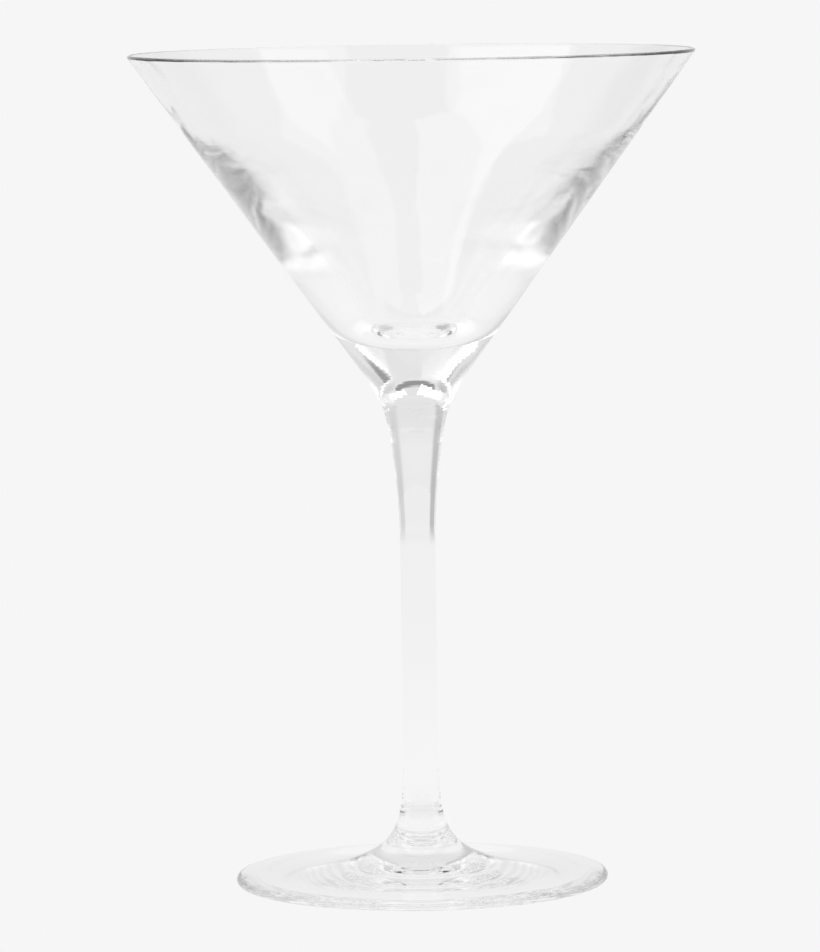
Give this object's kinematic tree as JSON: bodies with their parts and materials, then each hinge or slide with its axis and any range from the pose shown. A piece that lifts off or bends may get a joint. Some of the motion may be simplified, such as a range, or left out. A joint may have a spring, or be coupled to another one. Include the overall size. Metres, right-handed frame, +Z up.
{
  "type": "martini glass",
  "caption": "Stemmed cocktail glass with a wide conical bowl on a slim drawn stem and a round foot, for serving short drinks without ice.",
  "frame": {"origin": "centre of the circle that the foot rests on, at the surface it stands on", "axes": "+Z up along the stem's axis, through the middle of the bowl's mouth; the glass is round, so +X and +Y are any two directions square to it"},
  "size_m": [0.12, 0.12, 0.1772],
  "materials": {
    "bowl_glass": "clear, fire-polished",
    "stem_glass": "clear, drawn",
    "foot_glass": "clear, pressed, with faint concentric rings"
  },
  "bodies": {
    "root": {"bowl": "bowl_glass", "stem": "stem_glass", "foot": "foot_glass"}
  },
  "joints": []
}
